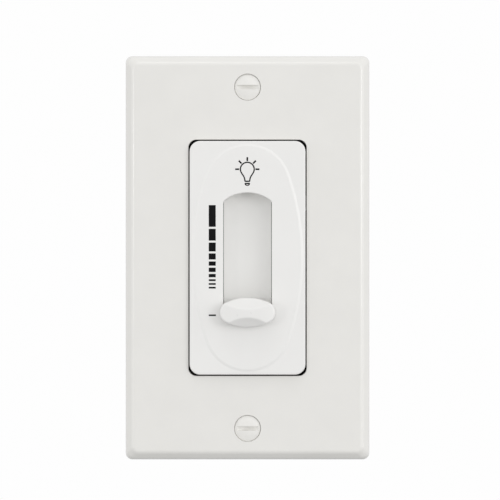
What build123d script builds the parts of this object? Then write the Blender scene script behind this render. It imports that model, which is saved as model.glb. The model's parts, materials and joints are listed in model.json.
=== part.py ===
from build123d import *
import math
import os

# Slide dimmer switch for a single-gang wall box, with its wall plate. Millimetres.
# X runs right, Y runs back into the wall and Z runs up. The origin is the middle of the wall
# surface, on which the wall plate's rim rests. The mounting strap is held just clear of it, so
# that the rim pulls down tight. Front faces have negative Y.

# Standard sizes that several parts share
PLATE_SCREW_Z = 96.84 / 2
DEVICE_SCREW_Z = 83.34 / 2
THREAD_6_32_R = 1.75
THREAD_8_32_R = 2.05
DRIVE_SLOT = 1.05

# Slider: where the knob rests and how far it goes up
KNOB_REST_Z = -15.4
KNOB_TRAVEL = 29.3
KNOB_TOP_Z = KNOB_REST_Z + KNOB_TRAVEL
STOP_GAP = 0.15

# Wall plate
PLATE_WIDTH = 69.5
PLATE_HEIGHT = 115.0
PLATE_DEPTH = 5.6
PLATE_RIM = 2.0
PLATE_SHOULDER = 3.6
PLATE_SHOULDER_INSET = 0.5
PLATE_BEVEL = 2.2
PLATE_CORNER_R = 1.9
PLATE_BEND_R = 1.5
PLATE_SHOULDER_R = 1.7
PLATE_SKIN = 2.0
PLATE_CAVITY_WIDTH = 64.4
PLATE_CAVITY_HEIGHT = 109.5
PLATE_INNER = -(PLATE_DEPTH - PLATE_SKIN)
OPENING_WIDTH = 33.5
OPENING_HEIGHT = 67.0
OPENING_CORNER_R = 2.2
OPENING_EDGE_R = 0.15
COUNTERSINK_R = 3.83
COUNTERSINK_LAND = 0.5
COUNTERSINK_SLOPE = math.tan(math.radians(41))
PLATE_HOLE_R = 2.0
PLATE_BOSS_R = 3.1
PLATE_BOSS_BACK = -1.7
RIB_WIDTH = 1.0
RIB_HEIGHT = 1.2
SIDE_RIB_X = 27.0
SIDE_RIB_HALF = 40.0
END_RIB_Z = 53.2
END_RIB_HALF = 25.0

# Plate screw
OVAL_HEAD_R = 3.62
OVAL_HEAD_LAND = 0.3
OVAL_HEAD_RISE = 0.62
OVAL_HEAD_SLOT = 0.45
PLATE_SCREW_END = 7.1
SEAT_GAP = 0.02

# Mounting strap
STRAP = 1.4
STRAP_BACK = -0.1
STRAP_FRONT = STRAP_BACK - STRAP
STRAP_HALF_WIDTH = 22.25
STRAP_HALF_BODY = 37.7
STRAP_HALF_HEIGHT = 53.0
STRAP_END_WIDTH = 20.0
SLIDER_WINDOW_HALF = 9.8
SLIDER_WINDOW_LOW = -24.0
SLIDER_WINDOW_HIGH = 23.0
DEVICE_SLOT_LENGTH = 6.6
DEVICE_SLOT_WIDTH = 4.2
TAPPED_R = 1.8
EAR_R = 4.6
EAR_HOLE_R = 2.4
EAR_X = 15.0
EAR_Z = 46.5
LUG_X = -16.5
LUG_HALF_WIDTH = 4.5
LUG_BACK = 9.0
LUG_SCREW_Y = 4.5

# Face cover
COVER_WIDTH = 32.8
COVER_HEIGHT = 66.2
COVER_CORNER_R = 3.0
COVER_FRONT = -7.2
COVER_EDGE_R = 0.4
COVER_WALL = 1.5
COVER_INNER = -5.9
OVAL_FRONT = -7.42
OVAL_HALF_WIDTH = 15.85
OVAL_HALF_HEIGHT = 32.3
OVAL_END_R = 12.5
OVAL_BEVEL = 0.7
WINDOW_HALF_WIDTH = 6.86
WINDOW_LOW = -19.3
WINDOW_HIGH = 18.45
WINDOW_ARCH_R = 10.8
WINDOW_CORNER_R = 1.3
WINDOW_EDGE_R = 0.25
TONGUE_X = 10.0
TONGUE_HALF = 2.5
TONGUE_INNER_Z = 31.8
TONGUE_OUTER_Z = 32.9
TONGUE_BACK = 1.7
BARB_INNER_Z = 31.0
BARB_FRONT = STRAP_BACK + 0.05
STAKE_X = 9.5
STAKE_Z = 24.5
STAKE_R = 0.9
STAKE_HEAD_R = 1.6

# Channel liner, the concave trough behind the face cover's slot
LINER_HALF_WIDTH = 6.74
LINER_EDGE_Y = -4.85
LINER_FLOOR_Y = -2.25
LINER_THICKNESS = 0.9
LINER_LOW = -20.2
LINER_HIGH = 19.2
FLANGE_HALF_WIDTH = 11.5
FLANGE_REACH = 7.8
FLANGE_BACK = -4.9

# Knob
KNOB_HALF_WIDTH = 7.83
KNOB_HALF_HEIGHT = 4.1
KNOB_END_R = 3.1
KNOB_BACK = -7.65
KNOB_FRONT = -12.3
UPPER_CREASE = 0.95
UPPER_CREASE_R = 28.0
UPPER_SCOOP_R = 38.0
LOWER_CREASE = -1.45
LOWER_CREASE_R = 14.0
LOWER_SCOOP_R = 19.0
KNOB_EDGE_R = 0.6
KNOB_CROWN_R = 30.0
NECK_WIDTH = 11.0
NECK_HEIGHT = 3.6
NECK_CORNER_R = 1.2
POST_X = 3.5
POST_R = 1.0
POST_HEAD_R = 1.5
POST_HEAD = 0.45

# Yoke and carrier that bring the knob's movement past the liner to the potentiometer
YOKE_FRONT = -5.75
YOKE_BACK = -5.05
YOKE_HALF_WIDTH = 9.0
YOKE_HALF_HEIGHT = 1.8
LEG_THICKNESS = 1.1
LEG_HALF_HEIGHT = 1.8
LEG_BACK = 4.6
LEG_CATCH = 0.7
CARRIER_FRONT = 2.3
CARRIER_BACK = 3.9
CARRIER_HALF_WIDTH = 7.8
CARRIER_HALF_HEIGHT = 4.0
CATCH_GAP = 0.05

# Slide potentiometer
POT_MID_Z = (KNOB_REST_Z + KNOB_TOP_Z) / 2
POT_HALF_WIDTH = 5.5
POT_HALF_LENGTH = 21.65
POT_FRONT = 5.0
POT_SHEET = 0.6
POT_LEG_OFFSET = 17.0
POT_LEG_HALF = 0.6
LEVER_HALF_WIDTH = 0.9
LEVER_HALF_HEIGHT = 2.0
LEVER_FRONT = 1.9
LEVER_SLOT_HALF = 1.1
CARRIAGE_FRONT = 6.0
CARRIAGE_BACK = 8.6
CARRIAGE_HALF_WIDTH = 4.3
CARRIAGE_HALF_HEIGHT = 4.5
TRACK_BOARD_FRONT = 9.8
TRACK_BOARD_BACK = 10.8
TRACK_BOARD_HALF_WIDTH = 4.7
TRACK_BOARD_HALF_LENGTH = 20.8
TRACK = 0.1
TRACK_X = 2.5
TRACK_HALF_WIDTH = 0.9
TRACK_HALF_LENGTH = 18.0
OFF_GAP = 3.0
WIPER_SHEET = 0.2
WIPER_REACH = 9.6
PIN_R = 0.45
PIN_OFFSET = 19.6

# Back housing
HOUSING_HALF_WIDTH = 21.75
HOUSING_HALF_HEIGHT = 34.6
HOUSING_WALL = 1.5
HOUSING_BACK = 30.0
HOUSING_CORNER_R = 2.0
SHEET_BACK = 0.4
SCREW_X = 19.0
SCREW_Z = 30.5
HOUSING_BOSS_R = 2.6
HOUSING_BOSS_BACK = 10.0
HOUSING_SCREW_R = 1.2
HOUSING_SCREW_HEAD_R = 2.2
HOUSING_SCREW_HEAD = 1.5
HOUSING_SCREW_END = 9.0
LABEL_WIDTH = 30.0
LABEL_HEIGHT = 52.0
LABEL_X = 3.5
RECESS = 0.4
GAUGE_X = -13.6
GAUGE_WIDTH = 2.0
GAUGE_LENGTH = 16.0
GAUGE_Z = 24.0
EJECTOR_X = 18.8
EJECTOR_Z = 29.0
EJECTOR_R = 1.5

# Circuit board
BOARD_FRONT = 11.0
BOARD_BACK = 12.6
BOARD_HALF_WIDTH = 19.8
BOARD_HALF_HEIGHT = 32.4
BOARD_NOTCH = 4.9
LEDGE = 1.4
LEDGE_HALF = 4.0
LEDGE_Z = 20.0

# Terminals in two pockets of the housing's left side
TERMINAL_ZS = (14.0, -10.0)
POCKET_FRONT = 14.2
POCKET_FLOOR_X = -17.5
POCKET_HALF = 6.0
POCKET_WALL = 1.2
TERMINAL_PLATE = 1.2
TERMINAL_HALF = 5.5
TERMINAL_FRONT = 15.0
TERMINAL_BACK = 29.0
TERMINAL_SCREW_Y = 21.5
TERMINAL_HEAD_R = 3.6
TERMINAL_HEAD = 2.1
TAIL_HALF = 1.5
TAIL_THICKNESS = 0.8

# Triac, riveted to the strap
TRIAC_X = 15.2
TRIAC_HALF_WIDTH = 4.9
TRIAC_LOW = 2.8
TRIAC_BODY_HIGH = 12.0
TRIAC_TAB_HIGH = 18.4
PAD_BACK = 0.3
TAB_BACK = 1.6
TRIAC_BACK = 4.7
RIVET_Z = 15.6
RIVET_R = 1.6
RIVET_HEAD_R = 2.6
LEAD_PITCH = 2.54
LEAD_WIDTH = 0.8
LEAD_THICKNESS = 0.5
LEAD_Y = 2.7
LEAD_DROP = 2.5
LEAD_END = 13.6

# Choke
CHOKE_X = 8.0
CHOKE_Z = -17.0
CHOKE_OUTER_R = 8.0
CHOKE_INNER_R = 4.0
CHOKE_FRONT = 14.9
CHOKE_BACK = 21.9
WINDING = 0.9
WINDING_ARC = 300

# Device screw, with a bare neck where it passes the strap and its washer
DEVICE_HEAD_R = 3.2
DEVICE_HEAD = 1.9
DEVICE_NECK_R = 1.35
DEVICE_THREAD_FRONT = 1.1
DEVICE_SCREW_END = 19.0
WASHER_HALF = 4.2
WASHER_FRONT = 0.1
WASHER_BACK = 0.9


def block(x0, x1, y0, y1, z0, z1):
    """A box between two corners."""
    size = (x1 - x0, y1 - y0, z1 - z0)
    return Pos((x0 + x1) / 2, (y0 + y1) / 2, (z0 + z1) / 2) * Box(*size)


def rod(x, z, radius, y0, y1):
    """A round bar along Y."""
    return Pos(x, (y0 + y1) / 2, z) * Rot(90, 0, 0) * Cylinder(radius, y1 - y0)


def room_plane(y):
    """A plane at depth y that faces the room: its own x is X and its own y is Z."""
    return Plane(origin=(0, y, 0), x_dir=(1, 0, 0), z_dir=(0, -1, 0))


def slab(outline, y_back, y_front):
    """An outline in X and Z, made thick from y_back forward to y_front."""
    return extrude(room_plane(y_back) * outline, amount=y_back - y_front)


def turned(*edges):
    """A solid of revolution about Y: the edges give radius and depth."""
    return revolve(make_face(list(edges)), axis=Axis.Y)


def dome(radius, y_rim, rise):
    """The arc of a low dome from its rim to its crown on the Y axis."""
    sphere_r = (radius**2 + rise**2) / (2 * rise)
    half = radius / 2
    y_half = y_rim - rise + sphere_r - math.sqrt(sphere_r**2 - half**2)
    return ThreePointArc((radius, y_rim), (half, y_half), (0, y_rim - rise))


def corners(x, z):
    """The four points that mirror x and z."""
    return [(x, z), (-x, z), (x, -z), (-x, -z)]


def plate_outline(inset):
    """The wall plate's outline, brought in all round."""
    return RectangleRounded(PLATE_WIDTH - 2 * inset, PLATE_HEIGHT - 2 * inset, PLATE_CORNER_R)


def plate_slope(depth, inset, next_depth, next_inset):
    """The sloping sides between two outlines, each at its depth in front of the wall."""
    outer = room_plane(-depth) * plate_outline(inset)
    inner = room_plane(-next_depth) * plate_outline(next_inset)
    return loft([outer, inner], ruled=True)


def wall_plate():
    plate = slab(plate_outline(0), 0, -PLATE_RIM)
    plate += plate_slope(PLATE_RIM, 0, PLATE_SHOULDER, PLATE_SHOULDER_INSET)
    plate += plate_slope(PLATE_SHOULDER, PLATE_SHOULDER_INSET, PLATE_DEPTH, PLATE_BEVEL)
    bend = plate.faces().sort_by(Axis.Y)[0].outer_wire().edges()
    plate = fillet(bend, PLATE_BEND_R)
    for depth in (PLATE_SHOULDER, PLATE_RIM):
        step = plate.edges().filter_by_position(Axis.Y, -depth - 0.01, -depth + 0.01)
        plate = fillet(step, PLATE_SHOULDER_R)
    plate -= slab(RectangleRounded(PLATE_CAVITY_WIDTH, PLATE_CAVITY_HEIGHT, 1), 0, PLATE_INNER)
    plate -= slab(RectangleRounded(OPENING_WIDTH, OPENING_HEIGHT, OPENING_CORNER_R), 0, -PLATE_DEPTH)
    opening_rim = plate.faces().sort_by(Axis.Y)[0].inner_wires()[0].edges()
    plate = fillet(opening_rim, OPENING_EDGE_R)
    for side in (-1, 1):
        rib_x = side * SIDE_RIB_X
        rib_z = side * END_RIB_Z
        back = PLATE_INNER + RIB_HEIGHT
        half = RIB_WIDTH / 2
        plate += block(rib_x - half, rib_x + half, PLATE_INNER, back, -SIDE_RIB_HALF, SIDE_RIB_HALF)
        plate += block(-END_RIB_HALF, END_RIB_HALF, PLATE_INNER, back, rib_z - half, rib_z + half)
        plate += rod(0, side * PLATE_SCREW_Z, PLATE_BOSS_R, PLATE_INNER, PLATE_BOSS_BACK)
        plate -= Pos(0, 0, side * PLATE_SCREW_Z) * plate_screw_hole()
    return plate


def plate_screw_hole():
    """The countersink: a short straight land at the face, then a cone down to the hole."""
    land = COUNTERSINK_LAND - PLATE_DEPTH
    cone_end = land + (COUNTERSINK_R - PLATE_HOLE_R) / COUNTERSINK_SLOPE
    points = [
        (0, 0),
        (PLATE_HOLE_R, 0),
        (PLATE_HOLE_R, cone_end),
        (COUNTERSINK_R, land),
        (COUNTERSINK_R, -PLATE_DEPTH),
        (0, -PLATE_DEPTH),
    ]
    return turned(Polyline(*points, close=True))


def plate_screw(z):
    """An oval head that sits down in the countersink, with its rim just below the plate's face."""
    land = COUNTERSINK_LAND - PLATE_DEPTH
    y_cone = land + (COUNTERSINK_R - OVAL_HEAD_R) / COUNTERSINK_SLOPE - SEAT_GAP
    y_rim = y_cone - OVAL_HEAD_LAND
    y_neck = y_cone + (OVAL_HEAD_R - THREAD_6_32_R) / COUNTERSINK_SLOPE
    y_crown = y_rim - OVAL_HEAD_RISE
    sides = Polyline(
        (0, y_crown),
        (0, PLATE_SCREW_END),
        (THREAD_6_32_R, PLATE_SCREW_END),
        (THREAD_6_32_R, y_neck),
        (OVAL_HEAD_R, y_cone),
        (OVAL_HEAD_R, y_rim),
    )
    screw = turned(sides, dome(OVAL_HEAD_R, y_rim, OVAL_HEAD_RISE))
    screw = chamfer(screw.edges().sort_by(Axis.Y)[-1], 0.35)
    half = DRIVE_SLOT / 2
    screw -= block(-OVAL_HEAD_R, OVAL_HEAD_R, y_crown, y_crown + OVAL_HEAD_SLOT, -half, half)
    return Pos(0, 0, z) * screw


def pan_screw(head_r, head, shank_r, end):
    """A slotted pan head in front of y = 0, with its shank behind."""
    top = fillet(rod(0, 0, head_r, -head, 0).edges().sort_by(Axis.Y)[0], head * 0.4)
    half = DRIVE_SLOT / 2
    top -= block(-head_r, head_r, -head, -head / 2, -half, half)
    return top + rod(0, 0, shank_r, 0, end)


def device_screw(z):
    front = DEVICE_THREAD_FRONT - STRAP_FRONT
    end = DEVICE_SCREW_END - STRAP_FRONT
    screw = pan_screw(DEVICE_HEAD_R, DEVICE_HEAD, DEVICE_NECK_R, end)
    screw += chamfer(rod(0, 0, THREAD_6_32_R, front, end).edges().sort_by(Axis.Y)[-1], 0.35)
    return Pos(0, STRAP_FRONT, z) * screw


def retaining_washer(z):
    half = WASHER_HALF
    washer = block(-half, half, WASHER_FRONT, WASHER_BACK, -half, half)
    return Pos(0, 0, z) * (washer - rod(0, 0, DEVICE_NECK_R + 0.1, WASHER_FRONT, WASHER_BACK))


def mounting_strap():
    outline = RectangleRounded(2 * STRAP_HALF_WIDTH, 2 * STRAP_HALF_BODY, 1.5)
    outline += RectangleRounded(STRAP_END_WIDTH, 2 * STRAP_HALF_HEIGHT, 2.0)
    for x, z in corners(EAR_X, EAR_Z):
        outline += Pos(x, z) * Circle(EAR_R)
        outline += Pos(x * 0.7, z) * Rectangle(4, 2.4)
    for x, z in corners(EAR_X, EAR_Z):
        outline -= Pos(x, z) * Circle(EAR_HOLE_R)
    for side in (-1, 1):
        outline -= Pos(0, side * DEVICE_SCREW_Z) * SlotOverall(DEVICE_SLOT_LENGTH, DEVICE_SLOT_WIDTH)
        outline -= Pos(0, side * PLATE_SCREW_Z) * Circle(TAPPED_R)
    window_height = SLIDER_WINDOW_HIGH - SLIDER_WINDOW_LOW
    window_z = (SLIDER_WINDOW_HIGH + SLIDER_WINDOW_LOW) / 2
    outline -= Pos(0, window_z) * Rectangle(2 * SLIDER_WINDOW_HALF, window_height)
    hook_mid = (TONGUE_INNER_Z + TONGUE_OUTER_Z) / 2
    hook_height = TONGUE_OUTER_Z - TONGUE_INNER_Z + 0.4
    for x, z in corners(TONGUE_X, hook_mid):
        outline -= Pos(x, z) * Rectangle(2 * TONGUE_HALF + 0.4, hook_height)
    for x, z in corners(SCREW_X, SCREW_Z):
        outline -= Pos(x, z) * Circle(HOUSING_SCREW_R + 0.3)
    strap = slab(outline, STRAP_BACK, STRAP_FRONT)
    strap -= Pos(TRIAC_X, 0, RIVET_Z) * rivet_shape(0.05)
    lug_low = -STRAP_HALF_BODY
    lug = block(
        LUG_X - LUG_HALF_WIDTH, LUG_X + LUG_HALF_WIDTH, STRAP_FRONT, LUG_BACK, lug_low, lug_low + STRAP
    )
    hole = Pos(LUG_X, LUG_SCREW_Y, lug_low + STRAP / 2) * Cylinder(THREAD_8_32_R + 0.05, STRAP)
    return strap + (lug - hole)


def rivet_shape(gap):
    """Countersunk head in the strap's front, and the shank back to the triac's tab."""
    head_r = RIVET_HEAD_R + gap
    shank_r = RIVET_R + gap
    cone_back = STRAP_FRONT + head_r - shank_r
    points = [
        (0, STRAP_FRONT),
        (head_r, STRAP_FRONT),
        (shank_r, cone_back),
        (shank_r, TAB_BACK),
        (0, TAB_BACK),
    ]
    return turned(Polyline(*points, close=True))


def triac_rivet():
    closed_head = rod(0, 0, RIVET_HEAD_R, TAB_BACK, TAB_BACK + 0.8)
    return Pos(TRIAC_X, 0, RIVET_Z) * (rivet_shape(0) + closed_head)


def ground_screw():
    seat = -STRAP_HALF_BODY
    flange = Cylinder(4.2, 0.7, align=(Align.CENTER, Align.CENTER, Align.MAX))
    head = extrude(RegularPolygon(3.175, 6, major_radius=False), amount=-2.6)
    shank = Cylinder(THREAD_8_32_R, 2.7, align=(Align.CENTER, Align.CENTER, Align.MIN))
    slot = Pos(0, 0, -2.6) * Box(8, DRIVE_SLOT, 1.6)
    return Pos(LUG_X, LUG_SCREW_Y, seat) * (flange + head + shank - slot)


def smooth_oval(half_width, half_height, end_r):
    """Arched top and bottom that run smoothly into round ends on the left and right."""
    end_x = half_width - end_r
    gap = half_height - end_r
    arch_r = (end_x**2 + half_height**2 - end_r**2) / (2 * gap)
    drop = arch_r - half_height
    scale = arch_r / math.hypot(end_x, drop)
    x = end_x * scale
    z = drop * scale - drop
    edges = [
        ThreePointArc((-x, z), (0, half_height), (x, z)),
        ThreePointArc((x, z), (half_width, 0), (x, -z)),
        ThreePointArc((x, -z), (0, -half_height), (-x, -z)),
        ThreePointArc((-x, -z), (-half_width, 0), (-x, z)),
    ]
    return make_face(edges)


def arched_outline(half_width, low, high, arch_r, corner_r):
    """A tall outline with straight sides, an arched top and an arched bottom."""
    rise = arch_r - math.sqrt(arch_r**2 - half_width**2)
    left, right = -half_width, half_width
    edges = [
        Line((left, low + rise), (left, high - rise)),
        ThreePointArc((left, high - rise), (0, high), (right, high - rise)),
        Line((right, high - rise), (right, low + rise)),
        ThreePointArc((right, low + rise), (0, low), (left, low + rise)),
    ]
    face = make_face(edges)
    return fillet(face.vertices(), corner_r)


def upright_oval(inset):
    """The outline of the face cover's raised oval, brought in all round."""
    width = OVAL_HALF_WIDTH - inset
    height = OVAL_HALF_HEIGHT - inset
    return Rot(0, 0, 90) * smooth_oval(height, width, OVAL_END_R - inset)


def face_cover():
    cover = slab(RectangleRounded(COVER_WIDTH, COVER_HEIGHT, COVER_CORNER_R), STRAP_FRONT, COVER_FRONT)
    front = cover.faces().sort_by(Axis.Y)[0]
    cover = fillet(front.outer_wire().edges(), COVER_EDGE_R)
    foot = room_plane(COVER_FRONT) * upright_oval(0)
    top = room_plane(OVAL_FRONT) * upright_oval(OVAL_BEVEL)
    cover += loft([foot, top], ruled=True)
    inner_width = COVER_WIDTH - 2 * COVER_WALL
    inner_height = COVER_HEIGHT - 2 * COVER_WALL
    cover -= slab(RectangleRounded(inner_width, inner_height, 1.5), STRAP_FRONT, COVER_INNER)
    window = arched_outline(
        WINDOW_HALF_WIDTH, WINDOW_LOW, WINDOW_HIGH, WINDOW_ARCH_R, WINDOW_CORNER_R
    )
    cover -= slab(window, COVER_INNER, OVAL_FRONT)
    rim = cover.faces().sort_by(Axis.Y)[0].inner_wires()[0].edges()
    cover = fillet(rim, WINDOW_EDGE_R)
    for x, z in corners(TONGUE_X, 1):
        low, high = sorted((z * TONGUE_INNER_Z, z * TONGUE_OUTER_Z))
        cover += block(x - TONGUE_HALF, x + TONGUE_HALF, STRAP_FRONT, TONGUE_BACK, low, high)
        low, high = sorted((z * BARB_INNER_Z, z * TONGUE_INNER_Z))
        cover += block(x - TONGUE_HALF, x + TONGUE_HALF, BARB_FRONT, TONGUE_BACK, low, high)
    for x, z in corners(STAKE_X, STAKE_Z):
        cover += rod(x, z, STAKE_R, COVER_INNER, FLANGE_BACK)
        cover += rod(x, z, STAKE_HEAD_R, FLANGE_BACK, FLANGE_BACK + 0.6)
    return cover


def channel_liner():
    sag = LINER_FLOOR_Y - LINER_EDGE_Y
    radius = (LINER_HALF_WIDTH**2 + sag**2) / (2 * sag)
    arc_mid = Pos(0, LINER_FLOOR_Y - radius)
    outer = arc_mid * Circle(radius + LINER_THICKNESS)
    depth = -COVER_INNER
    strip = Pos(0, COVER_INNER + depth / 2) * Rectangle(2 * LINER_HALF_WIDTH, depth)
    end_face = outer & strip
    trough_face = end_face - arc_mid * Circle(radius)
    liner = Pos(0, 0, LINER_LOW) * extrude(trough_face, amount=LINER_HIGH - LINER_LOW)
    for side, inner_z in ((1, LINER_HIGH), (-1, LINER_LOW)):
        liner += Pos(0, 0, inner_z) * extrude(end_face, amount=side * LINER_THICKNESS)
        low, high = sorted((inner_z, inner_z + side * FLANGE_REACH))
        half = FLANGE_HALF_WIDTH
        flange = block(-half, half, COVER_INNER, FLANGE_BACK, low, high)
        for x in (-STAKE_X, STAKE_X):
            flange -= rod(x, side * STAKE_Z, STAKE_R + 0.05, COVER_INNER, FLANGE_BACK)
        liner += flange
    return liner


def scoop(crease, crease_r, ball_r, side):
    """A ball that hollows the knob from its crease outward, on the given side."""
    depth = math.sqrt(ball_r**2 - crease_r**2)
    return Pos(0, KNOB_FRONT - depth, crease + side * crease_r) * Sphere(ball_r)


def slide_knob():
    knob = slab(smooth_oval(KNOB_HALF_WIDTH, KNOB_HALF_HEIGHT, KNOB_END_R), KNOB_BACK, KNOB_FRONT)
    knob &= Pos(0, KNOB_FRONT + KNOB_CROWN_R, 0) * Cylinder(KNOB_CROWN_R, 4 * KNOB_HALF_HEIGHT)
    knob -= scoop(UPPER_CREASE, UPPER_CREASE_R, UPPER_SCOOP_R, 1)
    knob -= scoop(LOWER_CREASE, LOWER_CREASE_R, LOWER_SCOOP_R, -1)
    outer_edges = [edge for edge in knob.edges() if edge.center().Y < KNOB_BACK - 0.1]
    knob = fillet(outer_edges, KNOB_EDGE_R)
    knob += slab(RectangleRounded(NECK_WIDTH, NECK_HEIGHT, NECK_CORNER_R), YOKE_FRONT, KNOB_BACK)
    for x in (-POST_X, POST_X):
        knob += rod(x, 0, POST_R, YOKE_FRONT, YOKE_BACK)
        knob += rod(x, 0, POST_HEAD_R, YOKE_BACK, YOKE_BACK + POST_HEAD)
    return Pos(0, 0, KNOB_REST_Z) * knob


def slider_yoke():
    half = YOKE_HALF_WIDTH
    yoke = block(-half, half, YOKE_FRONT, YOKE_BACK, -YOKE_HALF_HEIGHT, YOKE_HALF_HEIGHT)
    for side in (-1, 1):
        yoke -= rod(side * POST_X, 0, POST_R + 0.05, YOKE_FRONT, YOKE_BACK)
        inner = half - LEG_THICKNESS
        low, high = sorted((side * inner, side * half))
        yoke += block(low, high, YOKE_BACK, LEG_BACK, -LEG_HALF_HEIGHT, LEG_HALF_HEIGHT)
        low, high = sorted((side * (inner - LEG_CATCH), side * inner))
        front = CARRIER_FRONT - CATCH_GAP
        back = CARRIER_BACK + CATCH_GAP
        yoke += block(low, high, front - LEG_CATCH, front, -LEG_HALF_HEIGHT, LEG_HALF_HEIGHT)
        yoke += block(low, high, back, LEG_BACK, -LEG_HALF_HEIGHT, LEG_HALF_HEIGHT)
    return Pos(0, 0, KNOB_REST_Z) * yoke


def slider_carrier():
    half = CARRIER_HALF_WIDTH
    plate = block(-half, half, CARRIER_FRONT, CARRIER_BACK, -CARRIER_HALF_HEIGHT, CARRIER_HALF_HEIGHT)
    socket_x = LEVER_HALF_WIDTH + 0.05
    socket_z = LEVER_HALF_HEIGHT + 0.05
    plate -= block(-socket_x, socket_x, CARRIER_FRONT, CARRIER_BACK, -socket_z, socket_z)
    return Pos(0, 0, KNOB_REST_Z) * plate


def pot_carriage():
    wide, tall = CARRIAGE_HALF_WIDTH, CARRIAGE_HALF_HEIGHT
    carriage = block(-wide, wide, CARRIAGE_FRONT, CARRIAGE_BACK, -tall, tall)
    wide, tall = LEVER_HALF_WIDTH, LEVER_HALF_HEIGHT
    carriage += block(-wide, wide, LEVER_FRONT, CARRIAGE_FRONT, -tall, tall)
    return Pos(0, 0, KNOB_REST_Z) * carriage


def pot_wiper():
    """A spring plate with two fingers that reach back to the tracks."""
    plate = block(-3.6, 3.6, CARRIAGE_BACK, CARRIAGE_BACK + WIPER_SHEET, 1.6, 3.6)
    finger = make_face(
        Polyline(
            (CARRIAGE_BACK, 1.6),
            (CARRIAGE_BACK + WIPER_SHEET, 1.6),
            (WIPER_REACH, -2.4),
            (WIPER_REACH - 0.5, -3.6),
            (WIPER_REACH - 0.7, -3.6),
            (WIPER_REACH - WIPER_SHEET, -2.4),
            close=True,
        )
    )
    side_plane = Plane(origin=(0, 0, 0), x_dir=(0, 1, 0), z_dir=(1, 0, 0))
    for x in (-TRACK_X, TRACK_X):
        band = extrude(side_plane * finger, amount=0.6, both=True)
        plate += Pos(x, 0, 0) * band
    return Pos(0, 0, KNOB_REST_Z) * plate


def pot_frame():
    low = POT_MID_Z - POT_HALF_LENGTH
    high = POT_MID_Z + POT_HALF_LENGTH
    wide = POT_HALF_WIDTH
    frame = block(-wide, wide, POT_FRONT, BOARD_FRONT, low, high)
    wide -= POT_SHEET
    frame -= block(-wide, wide, POT_FRONT + POT_SHEET, BOARD_FRONT, low + POT_SHEET, high - POT_SHEET)
    slot_low = KNOB_REST_Z - LEVER_HALF_HEIGHT - STOP_GAP
    slot_high = KNOB_TOP_Z + LEVER_HALF_HEIGHT + STOP_GAP
    slot_x = LEVER_SLOT_HALF
    frame -= block(-slot_x, slot_x, POT_FRONT, POT_FRONT + POT_SHEET, slot_low, slot_high)
    for x0 in (-POT_HALF_WIDTH, wide):
        for z in (POT_MID_Z - POT_LEG_OFFSET, POT_MID_Z + POT_LEG_OFFSET):
            x1 = x0 + POT_SHEET
            frame += block(x0, x1, BOARD_FRONT, BOARD_BACK + 0.8, z - POT_LEG_HALF, z + POT_LEG_HALF)
    return frame


def pot_track_board():
    half = TRACK_BOARD_HALF_WIDTH
    low = POT_MID_Z - TRACK_BOARD_HALF_LENGTH
    high = POT_MID_Z + TRACK_BOARD_HALF_LENGTH
    board = block(-half, half, TRACK_BOARD_FRONT, TRACK_BOARD_BACK, low, high)
    for x, z in pin_places():
        board -= rod(x, z, PIN_R, TRACK_BOARD_FRONT, TRACK_BOARD_BACK)
    return board


def track(x, low, high):
    front = TRACK_BOARD_FRONT - TRACK
    return block(x - TRACK_HALF_WIDTH, x + TRACK_HALF_WIDTH, front, TRACK_BOARD_FRONT, low, high)


def resistive_track():
    return track(-TRACK_X, POT_MID_Z - TRACK_HALF_LENGTH, POT_MID_Z + TRACK_HALF_LENGTH)


def contact_strip():
    """It ends above the wiper's lowest place, so that the circuit is open there."""
    return track(TRACK_X, POT_MID_Z - TRACK_HALF_LENGTH + OFF_GAP, POT_MID_Z + TRACK_HALF_LENGTH)


def pin_places():
    low = POT_MID_Z - PIN_OFFSET
    high = POT_MID_Z + PIN_OFFSET
    return [(-TRACK_X, low), (TRACK_X, low), (-TRACK_X, high)]


def pot_pin(x, z):
    return rod(x, z, PIN_R, TRACK_BOARD_FRONT, BOARD_BACK + 0.8)


def insulating_sheet():
    outline = RectangleRounded(2 * HOUSING_HALF_WIDTH, 2 * HOUSING_HALF_HEIGHT, HOUSING_CORNER_R)
    window_height = SLIDER_WINDOW_HIGH - SLIDER_WINDOW_LOW
    window_z = (SLIDER_WINDOW_HIGH + SLIDER_WINDOW_LOW) / 2
    outline -= Pos(0, window_z) * Rectangle(2 * SLIDER_WINDOW_HALF - 0.8, window_height)
    for x, z in corners(TONGUE_X, (BARB_INNER_Z + TONGUE_OUTER_Z) / 2):
        outline -= Pos(x, z) * Rectangle(2 * TONGUE_HALF + 1, TONGUE_OUTER_Z - BARB_INNER_Z + 0.6)
    for x, z in corners(SCREW_X, SCREW_Z):
        outline -= Pos(x, z) * Circle(HOUSING_SCREW_R + 0.3)
    triac_z = (TRIAC_LOW + TRIAC_TAB_HIGH) / 2
    triac_height = TRIAC_TAB_HIGH - TRIAC_LOW + 0.6
    outline -= Pos(TRIAC_X, triac_z) * Rectangle(2 * TRIAC_HALF_WIDTH + 0.2, triac_height)
    return slab(outline, SHEET_BACK, STRAP_BACK)


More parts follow.
